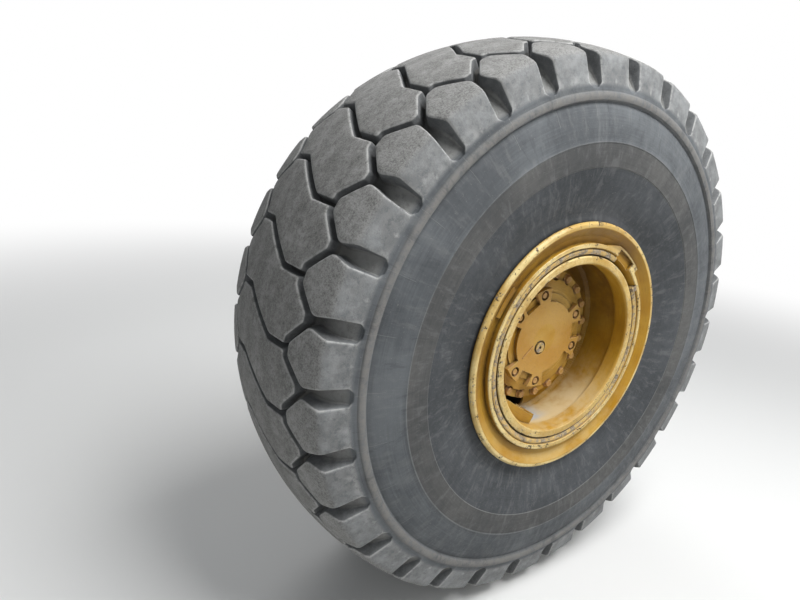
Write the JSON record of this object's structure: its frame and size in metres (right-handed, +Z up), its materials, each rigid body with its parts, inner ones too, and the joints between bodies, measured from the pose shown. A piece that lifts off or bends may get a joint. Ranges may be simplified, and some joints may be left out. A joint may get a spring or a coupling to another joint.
{
  "type": "earthmover wheel end",
  "caption": "Earthmover wheel with block-tread tyre, multi-piece rim and planetary final drive, turning on a flanged axle spindle.",
  "frame": {"origin": "centre of the axle flange's inboard face, on the wheel's axis", "axes": "+Y along the axle, inboard, out of the axle flange; -Y is the wheel's outer side; +Z up"},
  "size_m": [1.7776, 0.648, 1.772],
  "materials": {
    "tyre_rubber": "dusty, worn",
    "rim_paint": "satin, chipped",
    "hub_paint": "satin, dusty",
    "bare_steel": "worn bare",
    "axle_paint": "satin, dusty"
  },
  "bodies": {
    "spindle": {"axle_spindle": "axle_paint", "brake_housing": "axle_paint"},
    "wheel": {"wheel_hub": "hub_paint", "drive_housing": "hub_paint", "planet_cover": "hub_paint", "level_plug": "bare_steel", "rim_disc": "rim_paint", "gutter_section": "rim_paint", "rim_base": "rim_paint", "back_section": "rim_paint", "inner_side_flange": "rim_paint", "outer_side_flange": "rim_paint", "bead_seat_band": "rim_paint", "lock_ring": "bare_steel", "valve_stem": "bare_steel", "valve_guard": "rim_paint", "tyre": "tyre_rubber"}
  },
  "joints": [
    {"name": "wheel_spin", "type": "hinge", "parent": "spindle", "child": "wheel", "pos_m": [0, -0.3, 0], "axis": [0, 1, 0], "continuous": true}
  ]
}
